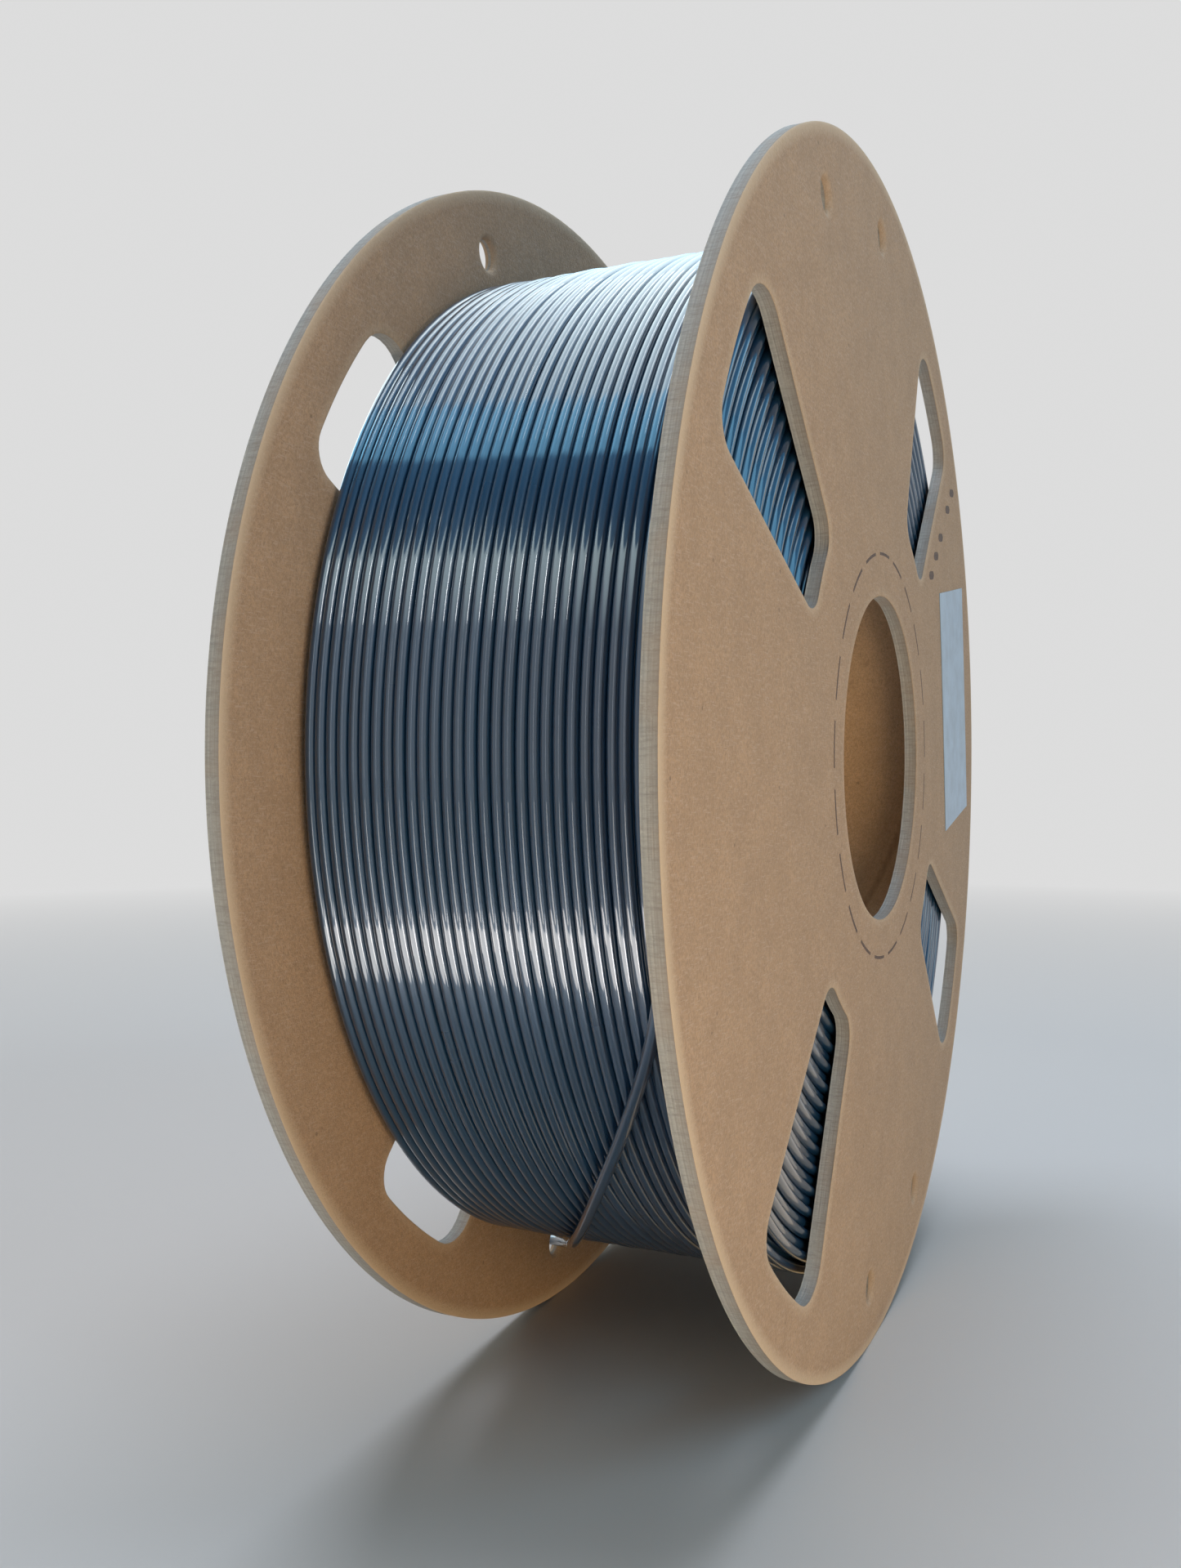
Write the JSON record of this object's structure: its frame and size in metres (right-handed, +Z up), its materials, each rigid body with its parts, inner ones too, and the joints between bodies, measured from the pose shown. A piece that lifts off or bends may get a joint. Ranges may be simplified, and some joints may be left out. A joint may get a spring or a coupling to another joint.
{
  "type": "filament spool",
  "caption": "Card spool with windowed flanges on a paper tube, full of 3-D printing filament wound side by side, its end crossing to a rim hole.",
  "frame": {"origin": "on the bore's axis, midway between the outer faces of the two flanges", "axes": "+X along the bore from the far flange to the near flange, which is the right-hand one in the picture; +Y away from the picture's viewer; +Z up"},
  "size_m": [0.0607, 0.2, 0.2],
  "materials": {
    "lined_board": "matt grey recycled board with brown kraft paper on both faces",
    "tube_board": "matt spirally wound paper tube",
    "filament": "silky blue-grey thermoplastic filament",
    "label_paper": "matt white blank label"
  },
  "bodies": {
    "root": {"near_flange": "lined_board", "far_flange": "lined_board", "core_tube": "tube_board", "filament_layers": "filament", "filament_outer_turns": "filament", "filament_tail": "filament", "label": "label_paper"}
  },
  "joints": []
}
